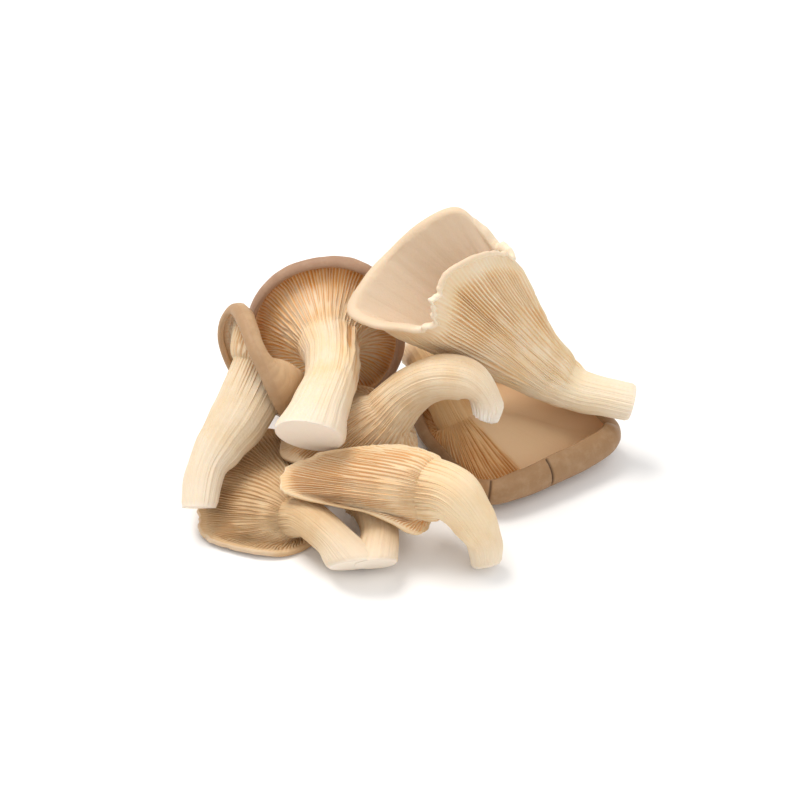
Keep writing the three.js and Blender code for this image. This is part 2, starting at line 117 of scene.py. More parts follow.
# Each mushroom: how many columns of faces and how many gills go round it, its stem as [x, y, z,
# radius] from the cut foot to the gills, the way its knife cut faces, its margin as a loop of [x,
# y, z, roll, tear], how its flesh leaves the stem and reaches the margin (flare), how far the
# margin is rolled (turn) and where the gills start down the stem (decurrent). Some also have
# columns crowded on the margin's near side (crowd), a part of the way round without gills (bare),
# shares of the way out where the gills fade (gill_fade), gills that sway more (wave), a torn foot
# (ragged_foot), loose plates on the stem as the way they face, where they start and their height
# (folds), cracks in the skin as share of the way round, reach, width and depth (cracks), or the
# solid of another mushroom that they share (node).
MUSHROOMS = {
    "mushroom_left": dict(
        columns=480, gills=96,
        stem=[(-79.5, 27, 13, 7.2), (-77.5, 40, 20, 8), (-72, 50, 25, 10), (-65, 60, 30.5, 12),
              (-59.5, 69, 37, 12.5), (-55.5, 77, 43.5, 12)],
        cut=(0, -0.7, -0.7),
        margin=[(-66, 92, 62, 0.9), (-61, 79, 64, 0.9), (-57, 68, 60.5, 0.9), (-53, 62, 55, 0.9),
                (-49.5, 58, 48, 0.9), (-46.5, 59.5, 38, 0.9), (-46, 66, 30, 0.9),
                (-51.5, 76, 25, 1), (-60, 84, 26, 1), (-67, 89, 34, 1), (-71, 93, 46, 1),
                (-70, 94, 55, 1)],
        flare=(0.5, 0.8, 0.3, 1.3), turn=1.4, decurrent=0.45,
    ),
    "mushroom_back": dict(
        columns=640, gills=128,
        stem=[(-35.5, 35, 43.5, 14), (-31.5, 50, 45, 11.5), (-28, 66, 45, 10.5),
              (-27.5, 81, 44.5, 11), (-29, 93, 43.5, 12.5)],
        cut=(-0.15, -0.9, -0.45),
        margin=[(-34, 112, 70, 0.9), (-23, 111, 71, 0.9), (-13, 109, 68, 0.9), (-5, 106, 60, 0.9),
                (-1, 103, 48, 0.9), (-1, 100, 34, 0.9), (-8, 99, 18, 0.9), (-20, 100, 7, 0.9),
                (-35, 102, 2.4, 0.9), (-48, 105, 6.5, 0.9), (-57, 107, 20, 0.9),
                (-61, 108, 36, 0.9), (-59, 109, 50, 0.9), (-53, 110, 60, 0.9), (-44, 111, 67, 0.9)],
        flare=(0.9, 0.5, 0.4, 1), turn=1.6, decurrent=0.35,
        folds=((0.85, -0.5, 0), 0.42, 1.1),
    ),
    "mushroom_top": dict(
        columns=640, gills=104,
        stem=[(94, 72, 29.5, 7.8), (84, 75.5, 29.5, 7.9), (74, 79, 29.5, 8.6), (67, 82, 31.5, 10),
              (60.5, 84, 36, 12)],
        cut=(0.95, -0.1, -0.2),
        margin=[(-2, 106, 79.5, 0.5), (-12, 97, 71.5, 1), (-17, 87, 64.5, 2), (-8, 77, 65, 2),
                (2, 71.5, 67.5, 2), (10, 67, 71, 1, 0.05), (13.5, 66, 83, 0.5, 0.1),
                (17.5, 71, 92, 0.5, 0.02), (28, 78, 95.5, 0.5), (37, 86, 93, 0.5, 0.02),
                (44, 94, 88.5, 0.5, 0.1), (38, 103, 90.5, 0.5, 0.15), (30, 109, 94.5, 0.5, 0.05),
                (22, 110, 96.5, 0.5), (10, 109, 90.5, 0.5)],
        flare=(0.6, 0.1, 0.7, 0), turn=1.2, decurrent=0.6,
    ),
    "mushroom_middle": dict(
        columns=480, gills=96, crowd=0.3,
        stem=[(34, 53, 37.5, 5), (34, 55.5, 45, 7), (28, 58.5, 51.5, 8.5), (19, 60.3, 52.8, 9),
              (10, 63, 47.5, 9), (2, 64, 39.5, 9.5), (-5, 62, 31.5, 10.5)],
        cut=(-0.3, -0.3, -0.9),
        margin=[(-47, 61, 20), (-47, 53, 18.5), (-36, 47, 18.5), (-22, 44, 19.5), (-10, 45, 20.5),
                (3, 50, 19), (7, 59, 18), (3, 72, 23, 0, 0.1), (-7, 80, 28, 0, 0.1),
                (-18, 84, 28.5), (-32, 81, 25.5), (-43, 72, 21.5)],
        flare=(0.4, 0.4, 0.6, 0.2), turn=0, decurrent=0.45,
        ragged_foot=0.16,
    ),
    "mushroom_right": dict(
        columns=640, gills=128, bare=(0.62, 1.12),
        stem=[(7, 114, 22, 7.5), (9, 106, 26.5, 7.5), (13, 96, 27, 8.5), (19.5, 88, 20.5, 9.5),
              (25, 83, 12, 10.5)],
        cut=(-0.3, 0.9, 0),
        margin=[(75, 62, 6, 5.5), (85, 70, 8, 5), (86.5, 77, 9, 3.5), (81, 84, 13, 2.5),
                (70, 92, 18, 2), (52, 102, 20, 1), (34, 106, 15, 1), (19, 103, 8, 1), (8, 94, 7, 1),
                (10, 80, 7, 1), (18, 64, 7, 1), (26, 48, 7, 2), (35, 40, 6.5, 4), (48, 45, 5.5, 5),
                (61, 53, 5.5, 5.5)],
        flare=(0.4, 0.6, 0.5, 0.4), turn=2.4, decurrent=0.3,
        cracks=((0.088, 1.2, 0.0018, 0.9), (0.205, 1.0, 0.0020, 0.8)),
    ),
    "mushroom_front": dict(
        columns=560, gills=112, gill_fade=(0.85, 0.99),
        stem=[(34, 5, 3, 6), (33, 7, 13, 7), (28, 10, 23, 9), (20, 15, 31, 11),
              (11.5, 20, 29.5, 12)],
        cut=(0.2, -0.5, -0.8),
        margin=[(-47, 29, 28, 0, 0.03), (-45, 23, 26, 0, 0.05), (-36, 18, 26), (-24, 14, 26),
                (-12, 11, 25.5), (-2, 8, 23), (5, 7, 19), (9, 12, 14), (10, 22, 12.5), (9, 31, 19),
                (6, 35, 29, 0, 0.08), (-1, 35.5, 38, 0, 0.08), (-12, 35, 38.5), (-22, 35, 37),
                (-36, 36, 32.5, 0, 0.05)],
        flare=(0.5, 0.4, 0.6, 0), turn=0, decurrent=0.5,
    ),
    "mushroom_pair": dict(
        columns=560, gills=112, crowd=0.3,
        stem=[(-17, -2, 9.5, 9), (-27, 9, 14, 7.5), (-37, 20, 14, 7.5), (-42, 25, 10, 8)],
        cut=(0.1, -0.8, -0.55),
        margin=[(-80, 31, 4, 0, 0.04), (-79, 44, 7), (-72, 58, 11), (-63, 69, 14.5), (-52, 73, 14),
                (-41, 66, 10), (-34, 51, 6), (-31, 37, 4), (-32, 26, 2.5), (-37, 18, 2.5),
                (-45, 13, 3), (-54, 12, 4, 0, 0.05), (-66, 15, 4, 0, 0.05), (-77, 21, 4, 0, 0.04)],
        flare=(0.4, 0.6, 0.6, 0.2), turn=0, decurrent=0.5,
        wave=2.2,
    ),
    "mushroom_pair_twin": dict(
        columns=280, gills=56, node="mushroom_pair",
        stem=[(-9.5, -1.5, 9.5, 8.5), (-8, 13, 12, 7.5), (-11, 27, 14, 7.5)],
        cut=(0.1, -0.8, -0.55),
        margin=[(-12, 44, 18), (-21, 41, 16), (-23, 35, 10), (-19, 31.5, 5), (-10, 31, 3.5),
                (-1, 32, 6), (2, 38, 12), (-3, 43, 17)],
        flare=(0.4, 0.4, 0.4, 0.4), turn=0, decurrent=0.4,
    ),
}

# Colours of each mushroom: the flesh and its warmer clouds, the painted shade between the gills and
# how strong it is, how far that painted shade spreads over the gills near the margin (blush), the
# skin of the cap, the skin along the margin and the torn flesh
FINISH = {
    "mushroom_left": dict(flesh="#e2d1b8", warm="#d6b98e", painted_gill_shade="#c88f4c", shade=0.75, rim_shade_spread=0.3,
                          skin="#c6a47e", rim="#a68463", fluff="#efe4d4"),
    "mushroom_back": dict(flesh="#e7d6bc", warm="#e6c490", painted_gill_shade="#dc963e", shade=1.0, rim_shade_spread=0.5,
                          skin="#bd997b", rim="#9c7a63", fluff="#efe4d4"),
    "mushroom_top": dict(flesh="#ecdcc2", warm="#e4ca9f", painted_gill_shade="#dba45c", shade=0.75, rim_shade_spread=0.02,
                         skin="#e8d5be", rim="#dbc2a4", fluff="#f1e4cf"),
    "mushroom_middle": dict(flesh="#e6d3b6", warm="#d9b586", painted_gill_shade="#c68f4c", shade=0.8, rim_shade_spread=0.2,
                            skin="#d4b690", rim="#bf9d76", fluff="#faf5ec"),
    "mushroom_right": dict(flesh="#e8c797", warm="#deb077", painted_gill_shade="#c67c30", shade=1.0, rim_shade_spread=0.15,
                           skin="#b08c68", rim="#957351", fluff="#efe4d4"),
    "mushroom_front": dict(flesh="#ecd6b4", warm="#e5c496", painted_gill_shade="#d6944a", shade=0.8, rim_shade_spread=0.06,
                           skin="#dcbe92", rim="#d2ae80", fluff="#f3e6cc"),
    "mushroom_pair": dict(flesh="#dcc29c", warm="#cda87c", painted_gill_shade="#a6743e", shade=0.8, rim_shade_spread=0.2,
                          skin="#d0b088", rim="#c29c72", fluff="#efe4d4"),
}
PALE_FOOT = "#e8dac6"
BARE_FLESH = "#e6c59c"
CUT_FLESH = "#eee0cf"
SKIN_MOTTLE = "#dcc3a2"
# Painted shade in the cracks of the skin
CRACK_SHADE = "#3d2517"

# The stage. The camera's place and aim are in the millimetres that the heap is laid out in.
CAMERA_PLACE = (0, -665.7, 649.9)
CAMERA_AIM = (0, 62, 39.3)
SENSOR_WIDTH = 36
FOCAL_SHARE = 2375 / 800     # focal length as a share of the sensor's width
LAMPS = (((-0.4, 0.3, 1.1), 0.6, 9.6, "#fffaf4"), ((0.5, -0.5, 0.9), 0.9, 2.4, "#ffffff"))
LAMP_AIM = (0, 0, 0.03)
ROOM_LIGHT = 0.7


def smooth(t):
    """Eases from 0 to 1."""
    s = np.clip(t, 0, 1)
    return s * s * (3 - 2 * s)


def ramp(t, start, end):
    """Eases from 0 at the start to 1 at the end."""
    return smooth((t - start) / (end - start))


def mix(a, b, t):
    return a + (b - a) * t


def unit(v):
    return v / np.maximum(np.linalg.norm(v, axis=-1, keepdims=True), 1e-9)


def dot(a, b):
    return (a * b).sum(-1, keepdims=True)


def noise(x, y, z=0.0, seed=0):
    """Smooth value noise from -1 to 1 on a lattice of unit cells."""
    x, y, z = np.broadcast_arrays(np.asarray(x, float), y, z)
    ix, iy, iz = np.floor(x), np.floor(y), np.floor(z)
    fx, fy, fz = smooth(x - ix), smooth(y - iy), smooth(z - iz)

    def corner(i, j, k):
        a, b, c, d, e = SCATTER
        return np.modf(np.sin((ix + i) * a + (iy + j) * b + (iz + k) * c + seed * d) * e)[0]

    def face(k):
        near = mix(corner(0, 0, k), corner(1, 0, k), fx)
        return mix(near, mix(corner(0, 1, k), corner(1, 1, k), fx), fy)

    return mix(face(0), face(1), fz)


def round_noise(u, around, t, seed=0):
    """Noise that closes up after one turn: `around` cells in a turn, t cells along."""
    radius = around / TURN
    x, y = NOISE_CENTRE
    return noise(radius * np.cos(TURN * u) + x, radius * np.sin(TURN * u) + y, t, seed)


def uneven(u, t, layers):
    """Layers of noise at shares u round and t along."""
    return sum(height * round_noise(u, around, t * along, seed)
               for height, around, along, seed in layers)


class Curve:
    """Smooth curve through points, open or closed, as in the solids."""
    SAMPLES = 201

    def __init__(self, points, closed):
        self.points = np.array(points, float)[:, :3]
        self.closed = closed
        self.places = np.linspace(0, 1, self.SAMPLES)
        steps = np.linalg.norm(np.diff(self.at(self.places), axis=0), axis=1)
        self.lengths = np.concatenate([[0], np.cumsum(steps)])

    def at(self, place):
        p, n = self.points, len(self.points)
        x = np.asarray(place, float) * (n if self.closed else n - 1)
        i = np.floor(x).astype(int)
        if self.closed:
            w = x - i
            p0, p1, p2, p3 = (p[(i + k) % n] for k in (-1, 0, 1, 2))
        else:
            i = np.clip(i, 0, n - 2)
            w = x - i
            ends = np.vstack([2 * p[0] - p[1], p, 2 * p[-1] - p[-2]])
            p0, p1, p2, p3 = (ends[i + k] for k in (0, 1, 2, 3))
        d0, d1, d2 = (((b - a) ** 2).sum(-1)[..., None] ** 0.25
                      for a, b in ((p0, p1), (p1, p2), (p2, p3)))
        t1 = ((p1 - p0) / d0 - (p2 - p0) / (d0 + d1) + (p2 - p1) / d1) * d1
        t2 = ((p2 - p1) / d1 - (p3 - p1) / (d1 + d2) + (p3 - p2) / d2) * d1
        w = w[..., None]
        return (p1 + t1 * w + (3 * (p2 - p1) - 2 * t1 - t2) * w ** 2
                + (2 * (p1 - p2) + t1 + t2) * w ** 3)

    def tangent(self, place):
        place = np.asarray(place, float)
        return unit(self.at(np.minimum(1, place + 1e-4)) - self.at(np.maximum(0, place - 1e-4)))

    def even(self, share):
        """Place on the curve at a share of its length."""
        return np.interp(share * self.lengths[-1], self.lengths, self.places)


class Stem:
    """The stem as rings round its centreline, their directions carried down from the gills."""
    STATIONS = 40

    def __init__(self, spec):
        self.curve = Curve(spec["stem"], False)
        self.radii = np.array([p[3] for p in spec["stem"]], float)
        self.cut = np.array(spec["cut"], float)
        first = np.array(spec["margin"][0][:3], float) - np.array(spec["stem"][-1][:3], float)
        across = []
        for i in range(self.STATIONS, -1, -1):
            along = self.curve.tangent(i / self.STATIONS)
            first = unit(first - along * dot(first, along))
            across.append(first)
        self.across = np.array(across[::-1])

    def frame(self, v):
        """Centre, way along, and the two directions of the ring at a share of the stem."""
        v = np.asarray(v, float)
        along = self.curve.tangent(v)
        first = self.across[np.floor(v * self.STATIONS + 0.5).astype(int)]
        first = unit(first - along * dot(first, along))
        return self.curve.at(v), along, first, np.cross(along, first)

    def radius(self, v):
        place = np.asarray(v, float) * (len(self.radii) - 1)
        i = np.clip(np.floor(place).astype(int), 0, len(self.radii) - 2)
        return mix(self.radii[i], self.radii[i + 1], smooth(place - i))

    def outward(self, v, angle):
        _, _, first, second = self.frame(v)
        return first * np.cos(angle)[..., None] + second * np.sin(angle)[..., None]

    def at(self, v, angle, reach):
        """Points of the ring, which slants with the knife cut near the foot."""
        v, angle, reach = np.broadcast_arrays(np.asarray(v, float), angle, reach)
        outward = self.outward(v, angle) * reach[..., None]
        along = self.frame(0.0)[1]
        slant = -dot(outward, self.cut) / dot(along, self.cut)
        slide = along * slant * (1 - smooth(v / CUT_REACH))[..., None]
        return self.frame(v)[0] + outward + slide


class Margin:
    """The margin as a closed curve that turns the same way round as the stem's rings."""

    def __init__(self, spec, upward):
        loop = [tuple(p) + (0,) * (5 - len(p)) for p in spec["margin"]]
        points = np.array([p[:3] for p in loop], float)
        normal = unit(np.cross(points, np.roll(points, -1, axis=0)).sum(0))
        if normal @ upward < 0:
            loop = [loop[0]] + loop[:0:-1]
            normal = -normal
        self.loop = np.array(loop, float)
        self.normal = normal
        self.curve = Curve(self.loop, True)
        self.crowd = spec.get("crowd", 0)

    def at(self, u):
        """Point, way along, roll and tear at shares of the way round."""
        share = u - self.crowd * np.sin(TURN * u) / TURN
        place = self.curve.even(share - np.floor(share))
        n = len(self.loop)
        x = place * n
        i = np.floor(x).astype(int) % n
        along = smooth(x - np.floor(x))
        roll, tear = (mix(self.loop[i, k], self.loop[(i + 1) % n, k], along) for k in (3, 4))
        return self.curve.at(place), self.curve.tangent(place), roll, tear


def make_fan(stem, margin, samples=72, most_lag=0.7):
    """The turn of the stem's ring from which each share of the margin grows: two slow waves that
    lead the ring towards the margin and never turn it back."""
    centre, _, first, second = stem.frame(1.0)
    waves = np.zeros((3, 2))
    previous = 0.0
    for i in range(samples):
        u = i / samples
        way = margin.at(np.array([u]))[0][0] - centre
        angle = math.atan2(way @ second, way @ first) - TURN * u
        lag = angle - TURN * math.floor((angle - previous) / TURN + 0.5)
        previous = lag
        for k in range(3):
            waves[k, 0] += lag * math.cos(TURN * k * u) * (2 if k else 1) / samples
            waves[k, 1] += lag * math.sin(TURN * k * u) * 2 / samples
    room = sum(k * math.hypot(*waves[k]) for k in range(3))
    share = min(1, most_lag / max(room, 0.01))

    def fan(u):
        turned = TURN * u + waves[0, 0]
        for k in (1, 2):
            turned = turned + share * (waves[k, 0] * np.cos(TURN * k * u)
                                       + waves[k, 1] * np.sin(TURN * k * u))
        return turned
    return fan


class Underside:
    """The gilled side of the cap without its gills, out to the margin and round its roll."""
    SAMPLES = 1440
    STEP = 0.012

    def __init__(self, spec, stem, margin, fan):
        self.turn = spec["turn"]
        u = np.arange(self.SAMPLES + 1) / self.SAMPLES
        outward = stem.outward(1.0, fan(u))
        start = stem.at(1.0, fan(u), stem.radius(1.0))
        point, edge, roll, tear = margin.at(u % 1)
        along = stem.frame(1.0)[1]
        rise, spread, reach, curl = spec["flare"]
        span = point - start
        length = np.linalg.norm(span, axis=1, keepdims=True)
        leave = (along * rise + outward * spread) * length
        arrive = unit(span - 0.5 * edge * dot(span, edge)) * reach - margin.normal * curl
        self.rails = np.concatenate([start, leave, point, arrive * length,
                                     roll[:, None], tear[:, None]], axis=1)

    def rail(self, u):
        """Start, way out, end, way in, roll and tear of the line at a share of the way round."""
        x = (u - np.floor(u)) * self.SAMPLES
        i = np.floor(x).astype(int) % self.SAMPLES
        w = (x - np.floor(x))[..., None]
        return self.rails[i] * (1 - w) + self.rails[i + 1] * w

    def flat(self, u, t, whole=False):
        """Points out to the margin, which is torn unless the whole cap is asked for."""
        r = self.rail(u)
        tear = r[..., 13]
        bite = 0 if whole else tear * uneven(u, 1.0, TEAR_BITES) * ramp(t, TEAR_START, 1)
        s = (t * (1 - 0.5 * tear) - bite)[..., None]
        s2, s3 = s * s, s * s * s
        return (r[..., 0:3] * (2 * s3 - 3 * s2 + 1) + r[..., 3:6] * (s3 - 2 * s2 + s)
                + r[..., 6:9] * (3 * s2 - 2 * s3) + r[..., 9:12] * (s3 - s2))

    def facing(self, u, t):
        h = self.STEP
        t = np.minimum(1, t)
        beside = self.flat(u + h, t, True) - self.flat(u - h, t, True)
        ahead, behind = np.minimum(1, t + h), np.maximum(0, t - h)
        out = unit(self.flat(u, ahead, True) - self.flat(u, behind, True))
        return out, unit(np.cross(out, beside))

    def place(self, u, t):
        """Position, inward and outward directions at shares round and along, past the roll too."""
        flat = self.flat(u, np.minimum(1, t))
        out, inward = self.facing(u, t)
        bend = (np.maximum(1, t) - 1) * self.turn
        sine, cosine = np.sin(bend)[..., None], np.cos(bend)[..., None]
        roll = self.rail(u)[..., 12:13]
        place = flat + out * roll * sine + inward * roll * (cosine - 1)
        return place, inward * cosine + out * sine, out * cosine - inward * sine

    def span(self, u):
        ends = self.flat(u, np.zeros_like(u)) - self.flat(u, np.ones_like(u))
        return np.linalg.norm(ends, axis=-1)


class Growth:
    """A whole mushroom as rows of points, from its cut foot round to the middle of its cap."""

    # Shares of the stem, from its foot, at which something ends or comes in
    BEVEL_END, CUT_END = 0.03, 0.02      # the rounding of the knife cut, and its colour
    SHREDS_END, FLUFF_END = 0.2, 0.22    # the shreds of a torn foot, and their colour
    PALE_END = 0.5                       # the paler foot
    PLATES_IN, CRACKS_IN = 0.15, 0.15    # how slowly loose plates and cracks come in
    PLATES_WRAP = 1.4                    # how far plates reach round their side of the stem
    DEEPEST_GAP, GAP_SHADE = -0.6, 1.6   # depth of the gaps between plates, and the painted shade in them
    FLUFF = 8                            # how white a ragged foot is
    FIBRE_SINK = 0.12                    # millimetres that the fibres lie under the ring

    # The gills, as shares of the stem or of the way out, and of their full height
    GILL_RANKS = (0.0, 0.42, 0.18, 0.46)    # where each of four in turn starts on the cap
    RANK_SPREAD, HEIGHT_SPREAD = (-0.07, 0.1), (0.7, 1.15)
    GILL_ENDS = (0.1, 0.6, 0.5)          # least, spread, and what short gills end higher up by
    SHORT_GILL = 0.3                     # short gills start farther out than this
    RISE_DOWN, RISE_OUT = 0.3, 0.16      # how slowly a gill rises down on the stem and on the cap
    GILLS_IN = 0.15                      # how slowly the gills come in near the stem
    STEM_CROWDING = 1.1                  # GILL_CROWDING for the gills on the stem
    JOIN = 0.25                          # how far the stem's gills run out onto the cap
    STEADY = 0.85                        # how far out the gills sway
    CHIPPED = 0.85                       # mean height once chips are off
    SHADE, LOW_SHADE = 0.8, 0.28         # painted shade between gills of full height, and between low ones
    LOW_SHADE_IN = 0.12

    FULL_TEAR, TORN_LEVEL = 0.09, 0.55   # tear that makes a margin ragged, and how ragged it is
    LIP_BULGE = 0.45                     # of the margin's thickness
    ROLL_REACH, LIP_REACH = 1.05, 1.1    # how far out the roll and the lip count for colours
    ROLL_SKIN, LIP_SKIN = (1.2, 2.0), (0.6, 1.8)     # where the skin begins on the roll and lip
    CRACK_WANDER = (0.6, 6, 71)          # in widths, bends along the growth, and seed
    RELIEF_FADE = (1.3, 1.0)             # where the skin's relief comes in
    RIPPED = 0.93                        # share of the way out where a tear ends in the skin

    def __init__(self, name, spec, gill_height):
        rng = np.random.default_rng(SEED + len(name) * 13 + spec["columns"])
        self.spec, self.gill_height, self.gills = spec, gill_height, spec["gills"]
        self.rows = []
        self.stem = Stem(spec)
        margin = Margin(spec, self.stem.frame(1.0)[1])
        fan = make_fan(self.stem, margin)
        self.under = Underside(spec, self.stem, margin, fan)
        self.u = np.arange(spec["columns"]) / spec["columns"]
        self.angle = fan(self.u)
        self.rolled = spec["turn"] > 0
        self.ragged = spec.get("ragged_foot", 0.0)

        # The gills: every fourth is a long one, and each has its own height and end on the stem
        which = np.floor(self.u * self.gills + 0.5).astype(int) % self.gills
        self.ridge = (0.5 + 0.5 * np.cos(TURN * self.u * self.gills)) ** RIDGE_SHARPNESS
        ranks = np.choose(np.arange(self.gills) % len(self.GILL_RANKS), self.GILL_RANKS)
        self.lengths = (ranks + rng.uniform(*self.RANK_SPREAD, self.gills))[which]
        self.heights = rng.uniform(*self.HEIGHT_SPREAD, self.gills)[which]
        least, spread, short = self.GILL_ENDS
        down = (least + spread * rng.uniform(0, 1, self.gills)[which]
                + short * (self.lengths > self.SHORT_GILL))
        self.gill_start = 1 - spec["decurrent"]
        self.ends = self.gill_start + spec["decurrent"] * down
        self.decurring = smooth((1 - self.ends) / self.RISE_DOWN)

        # Where the flesh is clad with gills, and where the margin is torn
        bare_from, bare_to = spec.get("bare", (0, 0))
        past = np.where(self.u < bare_to - 1, self.u + 1, self.u)
        self.clad = 1 - (smooth((past - bare_from) / BARE_EDGE)
                         * smooth((bare_to - past) / BARE_EDGE))
        self.torn = (smooth(self.under.rail(self.u)[:, 13] / self.FULL_TEAR)
                     * (self.TORN_LEVEL + uneven(self.u, 1.0, TORN_PATCHES)))

    def add(self, place, **marks):
        self.rows.append(dict(co=place, **marks))

    def out_at(self, t):
        return self.under.place(self.u, np.full(len(self.u), t))

    def grow(self):
        self.cut_face()
        self.stem_side()
        self.gilled_side()
        self.rim()
        self.skin()
        self.middle()
        return self.rows

    def cut_face(self):
        """The knife cut, a little swollen, or shredded on a torn foot."""
        along = self.stem.frame(0.0)[1]
        radius = self.stem.radius(0.0) - CUT_BEVEL
        ripple = uneven(self.u, 1.0, CUT_RIPPLE)
        for share in CUT_SHARES:
            swell = uneven(self.u, share, CUT_SWELL)
            swell = (swell + self.ragged * uneven(self.u, share, CUT_SHREDS)) * share
            ring = self.stem.at(0.0, self.angle, radius * share * (1 + ripple * share))
            self.add(ring + along * swell[:, None], cut=1.0, gill=1.0, foot=1.0)

    def plates(self, v):
        """Loose plates of flesh on one side of the stem, with gaps between them."""
        way, start, height = self.spec.get("folds", ((1, 0, 0), 1.0, 0.0))
        facing = self.stem.outward(v, self.angle) @ np.array(way, float)
        gaps = sum(np.abs(uneven(self.u, v, (layer,))) for layer in PLATE_GAPS)
        return (np.clip(1 - gaps, self.DEEPEST_GAP, 1) * height
                * smooth(facing * self.PLATES_WRAP) * smooth((v - start) / self.PLATES_IN))

    def stem_side(self):
        """The stem with its fibres and the gills that run down it."""
        for v in STEM_SHARES:
            radius = self.stem.radius(v)
            bevel = CUT_BEVEL * (1 - smooth(v / self.BEVEL_END))
            fibre = (uneven(self.u, v, STEM_FIBRES) - self.FIBRE_SINK) * min(1, v / self.BEVEL_END)
            shreds = (self.ragged * (1 - smooth(v / self.SHREDS_END))
                      * uneven(self.u, v, STEM_SHREDS))
            fold = self.plates(v)
            risen = smooth((v - self.ends) / self.RISE_DOWN) * self.clad
            tall = np.minimum(STEM_GILL * self.gill_height,
                              self.STEM_CROWDING * radius * TURN / self.gills)
            tall = (tall * risen * self.ridge * self.heights
                    * smooth((v - self.gill_start) / self.GILLS_IN))
            ring = self.stem.at(v, self.angle, radius - bevel + fibre + tall + shreds + fold)
            # Painted shade between the gills that run down the stem and in the gaps between loose
            # plates; the gill mark carries it as one minus the shade
            shade = (self.SHADE * (1 - self.ridge) * risen
                     + np.clip(-self.GAP_SHADE * fold, 0, 1))
            self.add(ring, gill=1 - np.clip(shade, 0, 1), reach=v - 1,
                     foot=1 - smooth(v / self.PALE_END), cut=1 - smooth(v / self.CUT_END),
                     torn=min(1, self.FLUFF * self.ragged) * (1 - smooth(v / self.FLUFF_END)))

    def gilled_side(self):
        """Long and short gills in turn, swaying a little, that fade out before the margin."""
        fade_from, fade_to = self.spec.get("gill_fade", (0.8, 0.95))
        wave = self.spec.get("wave", 1.0) / self.gills
        for t in GILL_SHARES:
            share = np.full(len(self.u), t)
            loose = smooth(t / self.GILLS_IN) * (1 - ramp(t, self.STEADY, 1))
            moved = self.u + uneven(self.u, t, GILL_SWAY) * wave * loose
            place, inward, _ = self.under.place(moved, share)
            beside = self.under.place(moved + 0.5 / self.gills, share)[0]
            gap = 2 * np.linalg.norm(beside - place, axis=1)
            long = mix(self.decurring, 1.0, smooth(t / self.GILLS_IN))
            short = np.maximum(smooth((t - self.lengths) / self.RISE_OUT),
                               self.decurring * (1 - smooth(t / self.JOIN)))
            start = np.where(self.lengths < LONG_GILL, long, short)
            tall = (self.gill_height * self.heights * start * (1 - ramp(t, fade_from, fade_to))
                    * self.clad * (self.CHIPPED + uneven(self.u, t, GILL_CHIPS)))
            place = place - inward * (np.minimum(tall, GILL_CROWDING * gap) * self.ridge)[:, None]
            place[:, 2] = np.maximum(BED, place[:, 2])
            # Painted shade between the gills, deeper where they stand tall and fainter between low
            # ones; the gill mark carries it as one minus the shade
            depth = (self.SHADE * tall / self.gill_height
                     + self.LOW_SHADE * smooth(t / self.LOW_SHADE_IN))
            shade = (1 - self.ridge) * np.minimum(1, depth) * self.clad
            self.add(place, gill=1 - shade, reach=t, bareness=1 - self.clad)

    def rim(self):
        """The roll of the margin and its lip, with tatters where it is torn."""
        if self.rolled:
            for t in ROLL_SHARES:
                place = self.out_at(t)[0]
                place[:, 2] = np.maximum(BED, place[:, 2])
                self.add(place, reach=self.ROLL_REACH, gill=1.0, skin=ramp(t, *self.ROLL_SKIN))
        place, inward, out = self.out_at(2.0 if self.rolled else 1.0)
        for angle in LIP_ANGLES:
            bulge = RIM * self.LIP_BULGE + self.torn * uneven(self.u, angle, LIP_TATTERS)
            lip = (place + inward * (RIM / 2 * (1 - math.cos(angle)))
                   + out * (bulge * math.sin(angle))[:, None])
            self.add(lip, reach=self.LIP_REACH, gill=1.0, torn=self.torn,
                     skin=ramp(angle, *self.LIP_SKIN) * (1 - self.torn))

    def crack_depth(self, t):
        """Depth of the cracks that run, wandering a little, across the skin of the margin."""
        depth = np.zeros(len(self.u))
        for where, reach, width, deep in self.spec.get("cracks", ()):
            amount, bends, seed = self.CRACK_WANDER
            wander = where + amount * width * noise(t * bends, 0.5, 0, seed)
            line = np.exp(-(((self.u - wander + 0.5) % 1 - 0.5) / width) ** 2)
            depth = depth + deep * line * smooth((t - reach) / self.CRACKS_IN)
        return depth

    def skin(self):
        """The skin of the cap, back from the margin towards its middle."""
        heart = np.clip(HEART_SHARE * self.under.span(self.u), RIM, HEART)
        shares = np.concatenate([ROLL_SHARES[::-1] if self.rolled else [], SKIN_SHARES])
        for t in shares:
            thick = RIM if t > 1 else mix(RIM, heart, (1 - t) ** 2)
            place, inward, _ = self.out_at(t)
            relief = uneven(self.u, t, SKIN_RELIEF) * ramp(t, *self.RELIEF_FADE)
            crack = self.crack_depth(t)
            ripped = self.torn * ramp(t, self.RIPPED, 1)
            # The crack mark lays painted shade along the cracks, as deep as they are
            self.add(place + inward * (thick + relief - crack)[:, None], reach=t, gill=1.0,
                     skin=1 - ripped, torn=ripped, crack=np.clip(crack, 0, 1))

    def middle(self):
        """The middle of the cap, closed with the slope that the skin arrives with."""
        end = self.rows[-1]["co"]
        slope = end - self.rows[-3]["co"]
        pole = end.mean(0)
        for share in MIDDLE_SHARES:
            self.add(mix(end, pole, share) + slope * (3 * share * (1 - share) ** 2),
                     reach=SKIN_START * (1 - share), gill=1.0, skin=1.0)


def laid(place):
    """Places in metres round the middle of the heap, from the millimetres it is laid out in."""
    return (np.array(place, float) - (*HEAP_CENTRE, 0)) * MM


